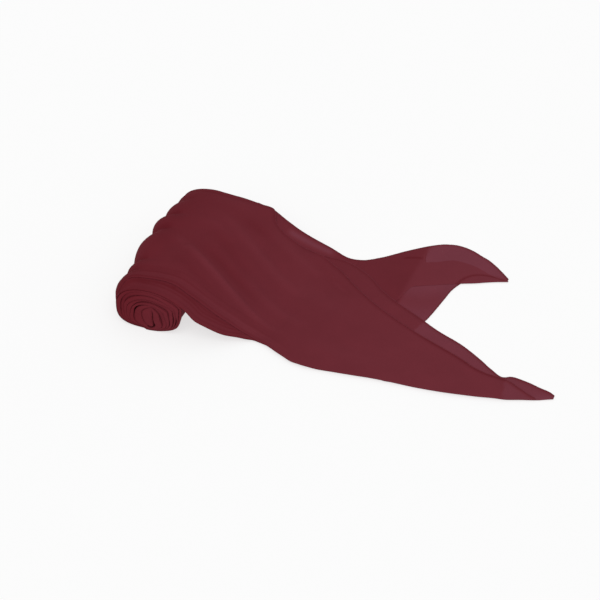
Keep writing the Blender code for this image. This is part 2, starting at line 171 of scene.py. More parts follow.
# Soft folds of the outer plies, each on a path of four points: ridges stand up and troughs sink in
FOLDS = (
    # (x, y) by four, half_width, height
    ((-133, -6), (-100, -26), (-66, -42), (0, -60), 4.2, 2.0),
    ((-104, -8), (-78, -17), (-56, -27), (-30, -35), 6.5, -1.3),
    ((-112, 52), (-72, 30), (-40, 12), (6, 2), 6.5, 1.3),
    ((-84, 53), (-74, 53), (-64, 52), (-52, 49), 7.0, -1.0),
    ((-104, 20), (-84, 8), (-66, -3), (-46, -12), 8.0, -0.8),
    ((-56, 62), (-36, 54), (-14, 46), (14, 42), 7.0, 1.0),
    ((-6, 58), (14, 44), (34, 30), (56, 18), 7.0, -0.6),
    ((-52, -14), (-30, -24), (-6, -34), (26, -42), 6.0, 0.8),
    ((-104, -62), (-76, -66), (-46, -68), (-12, -72), 6.0, 0.7),
    ((-118, -34), (-100, -46), (-80, -54), (-56, -58), 6.0, -0.7),
    ((-128, 74), (-112, 76), (-94, 74), (-78, 70), 8.0, 0.8),
    ((-124, 36), (-108, 32), (-92, 26), (-76, 18), 7.0, 0.7),
    ((-20, 26), (4, 14), (30, 0), (66, -16), 11.0, 0.6),
    ((20, -60), (52, -66), (86, -70), (120, -72), 10.0, 0.5),
)
# A round lift at the top ply's rear corner, beside the crest: x, y, half width, height
CORNER_LIFT = (-66.0, 84.0, 9.0, 2.4)
FOLD_SAMPLES = 40
FOLD_END_POWER = 0.6
FOLDS_ROUND_TO = 176.0
EDGE_FADE_SHARE = 0.14

# Broad, faint waves that keep the cloth from lying dead flat
WAVES = (
    # length, direction_degrees, phase, height
    (61.0, 12.0, 0.4, 0.22),
    (43.0, -28.0, 1.9, 0.18),
    (34.0, 71.0, 3.1, 0.14),
    (23.0, -61.0, 5.2, 0.08),
)
# On the flat stretch they are fainter, and the cloth is raised by a share of their height
WAVES_ON_FLAT = 0.25
WAVES_RAISE = 0.2

# Columns across each ply
COLUMN_STEP = 2.2

# A folded edge turns under on a small radius and runs back beneath the ply
LIP_STEPS = 6
LIP_RETURN = (3.0, 7.0)
# On a ply narrower than this it turns under less
LIP_FULL_WIDTH = 28.0
# The radius of each folded edge, round the roll and on the flat stretch
TOP_LIPS = (0.15, 0.2)
SECOND_LIPS = (0.42, 1.05)
# How far a folded edge's underside stays above the surface
LIP_CLEAR = 0.1

# A cut edge comes down to rest on what lies beneath it
SETTLE_WIDTH = 8.0
# How deep each edge then lies, along x
TOP_RESTS = (
    # x, depth
    (-200, 1.65), (-86, 1.65), (-74, 0.9), (-66, 0.7),
    (-56, 1.9), (-12, 1.9), (-2, 0.75), (300, 0.75),
)
SECOND_RESTS = ((-200, 1.75), (-60, 2.0), (100, 2.3), (122, 2.3), (134, 3.1), (300, 3.1))
FLOOR_RESTS = ((-90, 2.8), (60, 2.8), (80, 3.1), (300, 3.1))
CORNER_RESTS = ((0, 2.62), (300, 2.62))
SETTLES_BY_SHARE = 0.35

# The near edges of the upper plies stand up a little in a soft rim, with faint lines beside it
RIM_AT = 2.7
RIM_WIDTH = 1.6
RIM_HEIGHT = 1.0
TOP_RIM_SHARE = 1.0
SECOND_RIM_SHARE = 0.6
RIM_FADES_FROM = 0.5
RIM_LINE_STEP = 5.2
RIM_LINE_HEIGHT = 0.3
RIM_LINES_REACH = 26.0

# The wound turns: how far in each wall's outer face lies, from the roll's outline at 0 to the slot at 1
WOUND = (
    # turns, share: one turn to a line
    (0, 0), (0.26, 0), (0.51, 0), (0.76, 0),
    (1, 0.05), (1.26, 0.087), (1.51, 0.083), (1.76, 0.102),
    (2, 0.1), (2.26, 0.177), (2.51, 0.284), (2.76, 0.198),
    (3, 0.15), (3.26, 0.29), (3.51, 0.485), (3.76, 0.284),
    (4, 0.21), (4.26, 0.434), (4.51, 0.627), (4.76, 0.401),
    (5, 0.28), (5.26, 0.577), (5.51, 0.746), (5.76, 0.503),
    (6, 0.4), (6.26, 0.766), (6.51, 0.864), (6.76, 0.698),
    (7, 0.78), (7.26, 1), (7.51, 1), (7.76, 1),
    (8, 1),
)
TURN_COUNT = 6.97
TURN_STARTS_AT = 266.0
TURN_STEPS_ROUND = 56
WALL_GAP = 0.0012
# Places where two turns stand apart, and how much of that the wall further in gives
VOIDS = (
    # turns, reach, share
    (4.72, 0.08, 0.03),
    (3.66, 0.08, 0.01),
    (1.22, 0.05, 0.035),
    (3.2, 0.04, 0.02),
    (2.24, 0.04, 0.012),
    (5.99, 0.035, 0.26),
    (5.42, 0.03, 0.03),
)
VOID_INNER_SHARE = 0.3
SLOT_FROM_MIDDLE_X = 5.9
SLOT_CENTRE_Z = 16.0
SLOT_HALF_WIDTH = 0.45
SLOT_HALF_HEIGHT = 9.5
# How deep the wound turns' outside lies round the roll: it fills the wedge under the slope, and three plies
# cover it elsewhere
ROLL_INSETS = (
    # angle, depth
    (0, 0), (8, -0.4), (15, -2), (22, -3.2), (29, -2.3),
    (36, -0.9), (45, 0.6), (52, 1.2), (60, 1.6), (70, 1.9),
    (80, 2.05), (90, 2.1), (255, 2.1), (268, 0), (285, 0.8),
    (300, 2.3), (315, 3), (330, 2.4), (345, 1), (360, 0),
)
ROLL_NEAR_END = -99.4
ROLL_FAR_END = 85.0
NEAR_FLARE = 3.5
NEAR_FLARE_LENGTH = 14.0
# The middle of the roll stands out at both ends
CORE_STANDS_OUT = 3.0
CORE_POWER = 1.5
TURN_COLUMNS = 26
TURN_LIP_STEPS = 7
# How far a wall's edge rounds over, as a share of its thickness: the outer turns are pressed flatter
TURN_LIP_SHARES = (0.05, 0.155)
TURN_LIP_FULL_AT = 3.5
TURN_LIP_LARGEST = 2.6
# The cloth's edge stands out most below on the left
BOTTOM_STANDS_OUT = 2.1
STANDS_OUT_AT = 236.0
# The cloth's edge wanders a little from turn to turn
TURN_WANDER = (
    # turns_per_wave, phase, depth
    (0.61, 0.3, 0.45),
    (0.27, 2.2, 0.3),
    (1.7, 4.0, 0.5),
)

# Rolled hems and their stitches
HEM_STEP = 1.6
HEM_HALF_WIDTH = 0.68
HEM_HALF_HEIGHT = 0.26
HEM_END_SHARE = 0.3
HEM_SIDES = 8
HEM_WOBBLES = (
    # depth, pace, phase
    (0.08, 1.9, 0.0),
    (0.05, 0.7, 1.0),
)
# From which row of points each hem runs, and how light it looks
TOP_HEM = (60, 0.38)
SECOND_HEM = (100, 0.46)
BOTTOM_HEM = (60, 0.3)
UNDER_HEM = (40, 0.3)
# How many rows of points the hem at the end of the rear tail takes
REAR_TAIL_ROWS = 28
STITCH_STEP = 2.6
STITCH_RADIUS = 0.11
STITCH_LIFT = 0.04
STITCH_SIDES = 5
STITCH_SLANT = 0.8
STITCH_ARC_DEGREES = (-65.0, -22.0, 22.0, 65.0)
STITCH_TONE = 0.0

# How light each ply looks along the strip, from 0 where many plies lie together to 1 where one lies alone
TOP_TONES = (
    # x, tone
    (-200, 0.14), (-145, 0.15), (-125, 0.21), (-90, 0.26),
    (-30, 0.34), (60, 0.4), (150, 0.47), (280, 0.5),
)
SECOND_TONES = ((-200, 0.14), (-125, 0.17), (-105, 0.26), (-20, 0.32), (40, 0.36), (110, 0.43), (280, 0.47))
BOTTOM_TONES = ((-200, 0.2), (-60, 0.36), (60, 0.36), (90, 0.34), (95, 0.88), (190, 0.95))
UNDER_TONES = ((0, 0.5), (230, 0.7))
CORNER_TONES = ((30, 0.3), (89, 0.28), (93.5, 0.5), (185, 0.6))

# Soft lines and patches of tone on paths of four points: (x, y) by four, half_width, how much deeper

# Lighter where one ply lies alone at the rear of the slope, deeper beside the second ply on the flat stretch
BOTTOM_LINES = (
    ((-39, 77.3), (-28, 79.0), (-15, 81.5), (-1, 84.0), 4.6, -0.52),
    ((98, 38), (108, 38), (118, 40), (128, 50), 18.0, 0.26),
)
# Painted shade in the creases where the plies are drawn in at the roll's left
TOP_CREASE_SHADE = (
    ((-166, -67), (-160, -67), (-154, -67), (-147, -66), 3.6, 0.12),
    ((-166, -48), (-160, -48), (-154, -48), (-147, -47), 4.0, 0.14),
    ((-168, 8), (-162, 8), (-156, 8), (-150, 8), 5.0, 0.16),
    ((-170, 35), (-164, 35), (-158, 35), (-152, 36), 5.0, 0.16),
    ((-172, 66), (-166, 66), (-160, 66), (-154, 67), 5.0, 0.12),
)
# Painted shade on the second ply along the top ply's near edge, where it goes in under that edge, and lighter
# at its tip
SECOND_EDGE_SHADE_AND_TIP = (
    ((-152, -97), (-140, -87), (-122, -82), (-98, -81), 2.6, 0.14),
    ((-98, -81), (-78, -83), (-54, -83), (-30, -82), 2.4, 0.1),
    ((258, -61), (262, -59), (267, -57), (272, -55), 4.0, -0.17),
)
# Deeper on the turned corner, where an edge shows through
CORNER_LINES = (
    ((137, 79), (141, 104), (152, 113), (180, 108.5), 1.5, 0.45),
    ((74, 108), (80, 112), (86, 114), (94, 115), 1.4, 0.3),
)

# The wound turns look lighter to the right: from x, to x, and the tone there
WOUND_TONE = (-140.0, -105.0, 0.17)
# Light comes through the outermost turn in the wedge under the slope: how far right of the roll's middle,
# how far in from its near end, over what width, and how much lighter
WEDGE_TONE = (29.0, 1.0, 4.0, 0.5)
# Where fewer plies lie beneath, from a line on: x at y = 0, how much x moves with y, and the tone beyond
SECOND_ALONE = (124.6, 0.26, 0.8)
TOP_ALONE = (216.8, -0.157, 0.76)
ALONE_WIDTH = 1.6
# Painted highlight where the cloth stands up in a fold, and painted shade in a trough
FOLD_PAINTED_LIGHT = 0.085
FOLD_LIGHT_ABOVE = 2.5
# Painted shade along each hem, together with the deeper colour of the cloth rolled up in it: how much, along
# x
HEM_PAINTED_SHADES = ((-60, 0.12), (10, 0.18), (60, 0.22), (120, 0.26), (140, 0.4), (280, 0.44))
HEM_PAINTED_SHADE_WIDTH = 3.2
# Painted shade in faint creases beside a near edge, and a painted highlight on its rim where the depth is
# below zero: how far in, half_width, how much deeper
TOP_EDGE_PAINTED_SHADE = ((2.2, 1.1, -0.08), (5.0, 1.1, 0.14), (8.4, 1.2, 0.08), (12.4, 1.4, 0.08))
SECOND_EDGE_PAINTED_SHADE = ((3.8, 0.9, 0.16), (8.0, 1.1, 0.2), (11.6, 1.0, 0.1), (15.0, 1.2, 0.16))
EDGE_SHADE_FADE_X = (-20.0, 30.0)

# Linear colours: where many plies lie together, where a few do, and where one lies alone
CLOTH_DEEP = (0.104, 0.0108, 0.0158, 1.0)
CLOTH_MIDDLE = (0.143, 0.0245, 0.034, 1.0)
CLOTH_LIGHT = (0.161, 0.038, 0.0545, 1.0)
MIDDLE_TONE = 0.5
# The deepest colour of the wound turns and of the hems
WOUND_DEEP = (0.1138, 0.0126, 0.0183, 1.0)
HEM_DEEP = (0.118, 0.0155, 0.0225, 1.0)

# The cloth's shader, its weave, its soft mottle and its crepe grain
CLOTH_SURFACE = {
    "Roughness": 0.85,
    "Specular IOR Level": 0.02,
    "Sheen Weight": 0.02,
    "Sheen Roughness": 0.5,
    "Sheen Tint": (0.95, 0.2, 0.28, 1.0),
}
WEAVE = {"Scale": 260.0, "Distortion": 1.6, "Detail": 2.0}
WEAVE_RANGE = {"To Min": 0.97, "To Max": 1.06}
MOTTLE = {"Scale": 34.0, "Detail": 4.0, "Roughness": 0.6}
MOTTLE_RANGE = {"From Min": 0.3, "From Max": 0.7, "To Min": 0.965, "To Max": 1.035}
CREPE = {"Scale": 900.0, "Detail": 2.0}
CLOTH_BUMP = {"Strength": 0.35, "Distance": 0.0002}
HEM_BUMP = {"Strength": 0.3, "Distance": 0.0002}

# The sewing thread, a shade deeper than the cloth
THREAD_SURFACE = {"Roughness": 0.6, "Specular IOR Level": 0.25}
THREAD_TWIST = {"Scale": 2200.0}
THREAD_COLOURS = {"A": (0.085, 0.011, 0.016, 1.0), "B": (0.14, 0.022, 0.03, 1.0)}

# Camera, floor and lights
CAMERA_AZIMUTH = 22.0
CAMERA_ELEVATION = 36.0
CAMERA_LENS = 85.0
SENSOR = 36.0
VIEW_WIDTH = 0.6
CAMERA_DISTANCE = CAMERA_LENS / SENSOR * VIEW_WIDTH
FLOOR_SIZE = 8.0
FLOOR_Z = -0.0002
WHITE = (1.0, 1.0, 1.0, 1.0)
FLOOR_SURFACE = {
    "Base Color": (0.29, 0.29, 0.29, 1.0),
    "Roughness": 0.9,
    "Specular IOR Level": 0.0,
    "Emission Color": WHITE,
    "Emission Strength": 0.68,
}
SKY = {"Color": WHITE, "Strength": 0.68}
KEY_STRENGTH = 1.3
KEY_SPREAD = 50.0
KEY_TILT = (36.0, 14.0)

# The near and the far edge of a ply, as a column of its points
FRONT = 0
BACK = -1


def along(pair, y):
    """A value that changes evenly from the near to the far side of the strip."""
    return pair[0] + (pair[1] - pair[0]) * (y - NEAR_Y) / (FAR_Y - NEAR_Y)


def ease(share):
    """A smooth step from 0 to 1."""
    share = np.clip(share, 0.0, 1.0)
    return share * share * (3.0 - 2.0 * share)


def smooth_column(table, column, x):
    """A column of a table read at x along a smooth curve that never overshoots its rows."""
    rows = np.array(table, float)
    xs = rows[:, 0]
    ys = rows[:, column]
    steps = np.diff(xs)
    slopes = np.diff(ys) / steps
    tangents = np.zeros(len(xs))
    same_way = slopes[:-1] * slopes[1:] > 0
    harmonic = 2.0 * slopes[:-1] * slopes[1:] / np.where(same_way, slopes[:-1] + slopes[1:], 1.0)
    tangents[1:-1] = np.where(same_way, harmonic, 0.0)
    tangents[0] = slopes[0]
    tangents[-1] = slopes[-1]
    x = np.clip(x, xs[0], xs[-1])
    row = np.clip(np.searchsorted(xs, x) - 1, 0, len(steps) - 1)
    t = (x - xs[row]) / steps[row]
    rise = (1.0 + 2.0 * t) * (1.0 - t) ** 2 * ys[row] + t * t * (3.0 - 2.0 * t) * ys[row + 1]
    turn = t * (1.0 - t) ** 2 * tangents[row] - t * t * (1.0 - t) * tangents[row + 1]
    return rise + turn * steps[row]


def oval(angle):
    """A unit oval, rounded above and nearly flat below, as a share of the half width and of the height."""
    c = math.cos(math.radians(angle))
    s = math.sin(math.radians(angle))
    power = OVAL_TOP_POWER if s > 0 else OVAL_BOTTOM_POWER
    radius = (abs(c) ** power + abs(s) ** power) ** (-1.0 / power)
    return radius * c, 0.5 + 0.5 * radius * s


def roll_point(angle, y):
    """Where the roll's outline passes y, as x and z."""
    share_x, share_z = oval(angle)
    return along(ROLL_MIDDLE_X, y) + along(ROLL_HALF_WIDTH, y) * share_x, along(ROLL_HEIGHT, y) * share_z


def slope_point(share, y):
    """Where the slope passes y, from the roll's crest at 0 to the surface at 1."""
    crest = along(CREST_X, y)
    x = crest + share * (along(TOUCH_X, y) - crest)
    return x, FLAT_STACK + (along(ROLL_HEIGHT, y) - FLAT_STACK) * (1.0 - ease(share))


def normal_to(before, after):
    """The outward direction of a curve that runs from before to after, clockwise round the roll."""
    run_x = after[0] - before[0]
    run_z = after[1] - before[1]
    length = np.hypot(run_x, run_z)
    return -run_z / length, run_x / length


class CrossLine:
    """One line across the strip: where it passes each y, and which way is out."""

    def __init__(self, kind, value):
        self.kind = kind
        self.value = value

    def point(self, y):
        """Where the line passes y, as x and z."""
        if self.kind == "wrap":
            return roll_point(self.value, y)
        if self.kind == "slope":
            return slope_point(self.value, y)
        return along(self.value, y), np.full(np.shape(y), FLAT_STACK)

    def outward(self, y):
        """Which way is out at y, as x and z."""
        if self.kind == "wrap":
            return normal_to(roll_point(self.value + ANGLE_NUDGE, y), roll_point(self.value - ANGLE_NUDGE, y))
        if self.kind == "slope" and self.value < 1.0:
            before = slope_point(self.value - SHARE_NUDGE, y)
            after = slope_point(self.value + SHARE_NUDGE, y)
            return normal_to(before, after)
        return np.zeros(np.shape(y)), np.ones(np.shape(y))


def strip_lines():
    """The cross lines that every ply shares, from beneath the roll to where the tails part."""
    lines = [CrossLine("wrap", angle) for angle in np.linspace(WRAP_STARTS_AT, WRAP_ENDS_AT, WRAP_STEPS + 1)]
    lines += [CrossLine("slope", share) for share in np.linspace(0.0, 1.0, SLOPE_STEPS + 1)[1:]]
    pairs = np.array((TOUCH_X,) + FLAT_LINES)
    for low, high in zip(pairs, pairs[1:]):
        for split in range(1, FLAT_SPLITS + 1):
            lines.append(CrossLine("flat", tuple(low + (high - low) * split / FLAT_SPLITS)))
    return lines


def lines_square(from_x, to_x):
    """Cross lines square to the strip, from one x to another."""
    count = int(round((to_x - from_x) / TAIL_STEP))
    return [CrossLine("flat", (x, x)) for x in np.linspace(from_x, to_x, count + 1)]


def edge_on(line, table, column):
    """Where a long edge of a ply crosses a cross line."""
    y = smooth_column(table, column, line.point(0.0)[0])
    for _ in range(EDGE_TRIES):
        y = 0.5 * y + 0.5 * smooth_column(table, column, line.point(y)[0])
    return float(y)


def stands_out(angle):
    """How much further the cloth's near edge stands out, low on the roll's left."""
    return BOTTOM_STANDS_OUT * max(0.0, math.cos(math.radians(angle - STANDS_OUT_AT)))


def edges_at(line, table):
    """Where a ply's near and far edges lie on a cross line."""
    front = edge_on(line, table, 1)
    if line.kind == "wrap":
        front -= stands_out(line.value)
    return front, edge_on(line, table, 2)


def puff(line, y):
    """How far the outer plies stand out round the roll."""
    if line.kind != "wrap":
        return np.zeros(len(y))
    round_it = ease((PUFF_ROUND_FROM - line.value) / PUFF_ROUND_FADE)
    round_it *= ease((line.value - PUFF_ROUND_TO) / PUFF_ROUND_FADE)
    loose = np.array(LOOSE_ROUND)
    total = np.interp(y, loose[:, 0], loose[:, 1])
    for from_y, to_y, height in PUFFS:
        within = np.clip((y - from_y) / (to_y - from_y), 0.0, 1.0)
        total += height * np.sin(math.pi * within)
    return total * float(round_it)


def fold_paths(folds):
    """Each fold as a smooth path of samples, with its half width and height."""
    paths = []
    shares = np.linspace(0.0, 1.0, FOLD_SAMPLES)
    weights = np.stack(
        [(1 - shares) ** 3, 3 * shares * (1 - shares) ** 2, 3 * shares**2 * (1 - shares), shares**3], 1
    )
    for *points, half_width, height in folds:
        paths.append((weights @ np.array(points, float), half_width, height))
    return paths


FOLD_PATHS = fold_paths(FOLDS)


def fold_height(x, y):
    """How far the folds lift the outer plies at each place."""
    total = np.zeros(len(x))
    for path, half_width, height in FOLD_PATHS:
        away = np.hypot(x[:, None] - path[None, :, 0], y[:, None] - path[None, :, 1])
        nearest = np.argmin(away, axis=1)
        ends = np.sin(math.pi * (nearest + 0.5) / FOLD_SAMPLES) ** FOLD_END_POWER
        total += height * ends * np.exp(-((away.min(axis=1) / half_width) ** 2))
    return total


def wave_height(x, y):
    """The broad, faint waves."""
    total = np.zeros(len(x))
    for length, degrees, phase, height in WAVES:
        run = x * math.cos(math.radians(degrees)) + y * math.sin(math.radians(degrees))
        total += height * np.sin(2.0 * math.pi * run / length + phase)
    return total


def relief(line, x, y):
    """How far every outer ply stands out at each place: they lie on each other, so they share it."""
    front, back = edges_at(line, TOP_PLY_EDGES)
    share = np.clip((y - front) / (back - front), 0.0, 1.0)
    over = ease((FOLDS_ROUND_TO - line.value) / PUFF_ROUND_FADE) if line.kind == "wrap" else 1.0
    fade = ease(np.minimum(share, 1.0 - share) / EDGE_FADE_SHARE)
    flat = line.kind == "flat"
    lift_x, lift_y, lift_width, lift_height = CORNER_LIFT
    corner = lift_height * np.exp(-(((x - lift_x) ** 2 + (y - lift_y) ** 2) / lift_width**2))
    waves = wave_height(x, y) * (WAVES_ON_FLAT if flat else 1.0)
    if flat:
        waves = waves + sum(wave[3] for wave in WAVES) * WAVES_ON_FLAT * WAVES_RAISE
    return puff(line, y) + (fold_height(x, y) + waves) * fade * float(over) + corner * (line.kind == "slope")


def tail_drop(x):
    """The upper plies come down one layer past the end of the ply beneath the front tail."""
    return LAYER * ease((x - DROP_STARTS_X) / DROP_LENGTH)


class Ply:
    """What one ply is made from: its edges, how deep it lies, and how its edges turn and rest."""

    def __init__(
        self, table, depth, depth_round=None, lips=(0.0, 0.0), rim=0.0, rests=None, lies_loose=True,
        drops=False, on_floor=True,
    ):
        self.table = table
        self.depth = depth
        self.depth_round = depth if depth_round is None else depth_round
        self.lip_round = lips[0]
        self.lip_flat = lips[1]
        self.rim = rim
        self.rests = rests
        # Shares the puffs, folds and waves
        self.lies_loose = lies_loose
        # Comes down past the end of the ply beneath the front tail
        self.drops = drops
        # Its cut edge rests on the surface, so it comes down less there
        self.on_floor = on_floor

    def deep(self, line):
        """How deep the ply lies at a cross line."""
        if line.kind == "wrap":
            return self.depth_round
        share = ease(line.value) if line.kind == "slope" else 1.0
        return float(self.depth_round + (self.depth - self.depth_round) * share)

    def fall(self, line):
        """How far the ply has come down past the end of the ply beneath, at its near edge."""
        if line.kind != "flat" or not self.drops:
            return 0.0
        return float(tail_drop(min(line.value)))

    def lip(self, line):
        """The radius of the folded near edge at a cross line."""
        if line.kind == "wrap":
            return self.lip_round
        share = ease(line.value) if line.kind == "slope" else 1.0
        return float(self.lip_round + (self.lip_flat - self.lip_round) * share)


def lip_profile(radius):
    """A folded edge's points, from beneath to the top: how far in from the edge, and how much deeper."""
    points = [(radius + run, 2 * radius) for run in reversed(LIP_RETURN)]
    for step in range(LIP_STEPS + 1):
        turn = math.pi * (1.0 - step / LIP_STEPS)
        points.append((radius - radius * math.sin(turn), radius - radius * math.cos(turn)))
    return points


def settle(line, ply, x, y, front, back):
    """How far a ply comes down at its cut edges to lie on what is beneath."""
    folded = ply.lip_round > 0.0
    if ply.rests is None or (line.kind == "wrap" and not folded):
        return np.zeros(len(y))
    table = np.array(ply.rests, float)
    down = np.interp(x, table[:, 0], table[:, 1]) - ply.deep(line)
    if ply.drops and ply.on_floor:
        down = down - tail_drop(x)
    close = ease(1.0 - (back - y) / SETTLE_WIDTH)
    if not folded:
        close = np.maximum(close, ease(1.0 - (y - front) / SETTLE_WIDTH))
    slowly = ease(line.value / SETTLES_BY_SHARE) if line.kind == "slope" and not folded else 1.0
    return down * close * float(slowly)


def rim_height(line, y, front):
    """The soft rim along a near edge, and the faint lines beside it."""
    if line.kind == "flat":
        return np.zeros(len(y))
    run = y - front
    rim = RIM_HEIGHT * np.exp(-(((run - RIM_AT) / RIM_WIDTH) ** 2))
    lines = RIM_LINE_HEIGHT * np.sin(2.0 * math.pi * run / RIM_LINE_STEP)
    lines = lines * np.exp(-((run / RIM_LINES_REACH) ** 2))
    down_slope = (line.value - RIM_FADES_FROM) / (1.0 - RIM_FADES_FROM)
    fade = 1.0 - ease(down_slope) if line.kind == "slope" else 1.0
    return (rim + lines * ease(run / RIM_LINE_STEP)) * float(fade)


def ply_rows(lines, ply):
    """A ply as an array of points, one row for each cross line, from front to back."""
    spans = [edges_at(line, ply.table) for line in lines]
    widest = max(back - front for front, back in spans)
    columns = int(round(widest / COLUMN_STEP))
    shares = np.linspace(0.0, 1.0, columns + 1)
    rows = []
    for line, (front, back) in zip(lines, spans):
        radius = min(ply.lip(line), 0.5 * (FLAT_STACK - LIP_CLEAR - ply.deep(line) - ply.fall(line)))
        room = min(1.0, (back - front) / LIP_FULL_WIDTH)
        y = front + radius * room + shares * (back - front - radius * room)
        deeper = np.zeros(len(y))
        if ply.lip_round > 0.0:
            lip = np.array(lip_profile(radius)[:-1]) * room
            y = np.concatenate([front + lip[:, 0], y])
            deeper = np.concatenate([lip[:, 1], deeper])
        x, z = line.point(y)
        out_x, out_z = line.outward(y)
        lift = -ply.deep(line) - deeper
        if ply.lies_loose:
            lift = lift + relief(line, x, y)
        lift = lift + ply.rim * rim_height(line, y, front) - settle(line, ply, x, y, front, back)
        fall = tail_drop(x) if ply.drops else 0.0
        rows.append(np.stack([x + lift * out_x, y, z + lift * out_z - fall], 1))
    return np.array(rows)


def place(points):
    """Points from the strip frame in millimetres to the shared frame in metres."""
    return (np.asarray(points) - np.array([STRIP_ZERO_X, STRIP_ZERO_Y, 0.0])) * MM


def run_lengths(points):
    """How far along a path each of its points is."""
    return np.concatenate([[0.0], np.cumsum(np.linalg.norm(np.diff(points, axis=0), axis=1))])


def add_piece(name, mesh, material):
    """Link a mesh as a piece that rides on the one body."""
    obj = bpy.data.objects.new(name, mesh)
    bpy.context.scene.collection.objects.link(obj)
    obj.data.materials.append(material)
    mesh.shade_smooth()
    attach(obj, "root")
    return obj


def store_tone(mesh, tones):
    """Keep how light each point looks with the mesh, for its material."""
    tone = mesh.attributes.new("tone", "FLOAT", "POINT")
    tone.data.foreach_set("value", np.asarray(tones, np.float32).reshape(-1))


def store_lay(mesh, along_it, across_it):
    """Keep where each point lies on the flat cloth with the mesh, in metres, for the weave."""
    lay = np.zeros(across_it.shape + (2,))
    lay[:, :, 0] = along_it[:, None]
    lay[:, :, 1] = across_it
    loops = np.zeros(len(mesh.loops), int)
    mesh.loops.foreach_get("vertex_index", loops)
    uv = mesh.uv_layers.new(name="lay")
    uv.data.foreach_set("uv", (lay.reshape(-1, 2)[loops] * MM).astype(np.float32).reshape(-1))


def cloth_piece(name, rows, material, tones):
    """A sheet of quads through an array of points, with its weave laid along it and its tone stored."""
    count, width = rows.shape[:2]
    at = np.arange(count * width).reshape(count, width)
    faces = np.stack([at[:-1, :-1], at[1:, :-1], at[1:, 1:], at[:-1, 1:]], 2).reshape(-1, 4)
    mesh = bpy.data.meshes.new(name)
    mesh.from_pydata(place(rows.reshape(-1, 3)).tolist(), [], faces.tolist())
    store_lay(mesh, run_lengths(rows[:, width // 2]), rows[:, :, 1])
    store_tone(mesh, tones)
    mesh.update()
    return add_piece(name, mesh, material)


def tone_of(rows, tones, alone=None, hems=(), lines=(), paint_fold_light=False, painted_edge_shade=()):
    """How light each point of a ply looks: by place, by what lies beneath, and deeper at its hems, with
    painted light and shade on its folds, creases and edges.
    """
    table = np.array(tones, float)
    x = rows[:, :, 0]
    y = rows[:, :, 1]
    tone = np.interp(x, table[:, 0], table[:, 1])
    # Painted highlight on fold ridges and painted shade in fold troughs
    if paint_fold_light:
        above = rows[:, :, 2] > FOLD_LIGHT_ABOVE
        lift = fold_height(x.reshape(-1), y.reshape(-1)).reshape(x.shape)
        tone = tone + FOLD_PAINTED_LIGHT * lift * above
    if alone is not None:
        start, slant, beyond = alone
        share = ease((x - start - slant * y) / ALONE_WIDTH + 0.5)
        tone = tone + (beyond - tone) * share
    shades = np.array(HEM_PAINTED_SHADES)
    # Painted shade along each hemmed edge
    for edge in hems:
        away = np.linalg.norm(rows - rows[:, [edge]], axis=2)
        tone = tone - np.interp(x, shades[:, 0], shades[:, 1]) * np.exp(-((away / HEM_PAINTED_SHADE_WIDTH) ** 2))
    fade_from, fade_to = EDGE_SHADE_FADE_X
    shown = 1.0 - ease((x - fade_from) / (fade_to - fade_from))
    # Painted shade and highlight in lines beside the near edge
    for from_edge, half_width, depth in painted_edge_shade:
        away = np.linalg.norm(rows - rows[:, [FRONT]], axis=2) - from_edge
        tone = tone - depth * shown * np.exp(-((away / half_width) ** 2))
    # Lines of tone on paths: painted shade in creases and along edges, and where the plies beneath change the
    # tone
    for path, half_width, depth in fold_paths(lines):
        away = np.hypot(x[:, :, None] - path[:, 0], y[:, :, None] - path[:, 1]).min(axis=2)
        tone = tone - depth * np.exp(-((away / half_width) ** 2))
    return np.clip(tone, 0.0, 1.0)


def wound_point(angle, share, y):
    """A point of the wound turns: share is 0 on the roll's outside and 1 on its upright slot."""
    turn = angle % 360.0
    x, z = roll_point(turn, y)
    out_x, out_z = normal_to(roll_point(turn + ANGLE_NUDGE, y), roll_point(turn - ANGLE_NUDGE, y))
    inset = float(smooth_column(ROLL_INSETS, 1, turn))
    to_right = max(0.0, math.cos(math.radians(turn)))
    x = x - inset * out_x - NEAR_FLARE * to_right * ease((y - ROLL_NEAR_END) / NEAR_FLARE_LENGTH)
    z = np.maximum(z - inset * out_z, 0.0)
    slot_x = along(ROLL_MIDDLE_X, y) + SLOT_FROM_MIDDLE_X + SLOT_HALF_WIDTH * math.cos(math.radians(angle))
    slot_z = SLOT_CENTRE_Z + SLOT_HALF_HEIGHT * math.sin(math.radians(angle))
    return x + (slot_x - x) * share, z + (slot_z - z) * share


def turn_end(turns, way):
    """How far the cloth's edge stands out at the roll's near or far end, after this many turns."""
    stands = CORE_STANDS_OUT * (turns / TURN_COUNT) ** CORE_POWER
    stands += stands_out(TURN_STARTS_AT + 360.0 * turns) * (1.0 - turns / TURN_COUNT)
    for length, phase, depth in TURN_WANDER:
        stands += depth * math.sin(2.0 * math.pi * turns / length + phase * way)
    return stands


def wall_faces(turns):
    """Where the wall's outer and inner faces lie after this many turns."""
    outer = float(smooth_column(WOUND, 1, turns)) + WALL_GAP
    inner = float(smooth_column(WOUND, 1, turns + 1.0)) - WALL_GAP
    for at, reach, share in VOIDS:
        inner -= share * math.exp(-(((turns - at) / reach) ** 2))
        outer += VOID_INNER_SHARE * share * math.exp(-(((turns - 1.0 - at) / reach) ** 2))
    return outer, max(inner, outer + WALL_GAP)


